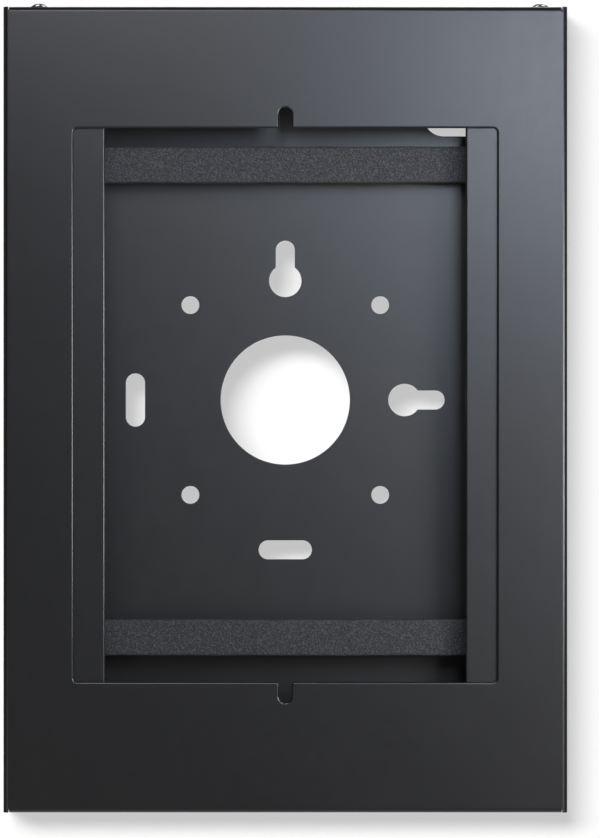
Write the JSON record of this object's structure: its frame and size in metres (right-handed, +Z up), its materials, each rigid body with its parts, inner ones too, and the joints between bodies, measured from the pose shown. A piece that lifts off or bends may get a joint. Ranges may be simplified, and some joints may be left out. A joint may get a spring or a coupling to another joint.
{
  "type": "tablet wall mount",
  "caption": "Lockable wall mount for a tablet: folded dark steel cover with a display window, narrowing rails, foam strips and a slotted wall plate.",
  "frame": {"origin": "middle of the square hole pattern, on the wall", "axes": "+Z up, +X to the viewer's right, +Y into the wall, so the display looks along -Y"},
  "size_m": [0.2206, 0.022, 0.3171],
  "materials": {
    "coated_steel": "satin anthracite powder coat",
    "foam": "matt closed-cell foam",
    "black_screw": "glossy black coated steel",
    "bare_steel": "zinc plated"
  },
  "bodies": {
    "root": {"back_plate": "coated_steel", "front_cover": "coated_steel", "rail_left": "coated_steel", "rail_right": "coated_steel", "foam_strip_top": "foam", "foam_strip_bottom": "foam", "cover_screw_left": "black_screw", "cover_screw_right": "black_screw", "cover_nut_left": "bare_steel", "cover_nut_right": "bare_steel", "stud_left_top": "bare_steel", "stud_left_middle": "bare_steel", "stud_left_bottom": "bare_steel", "stud_right_top": "bare_steel", "stud_right_middle": "bare_steel", "stud_right_bottom": "bare_steel", "rail_nut_left_top": "bare_steel", "rail_nut_left_middle": "bare_steel", "rail_nut_left_bottom": "bare_steel", "rail_nut_right_top": "bare_steel", "rail_nut_right_middle": "bare_steel", "rail_nut_right_bottom": "bare_steel"}
  },
  "joints": []
}
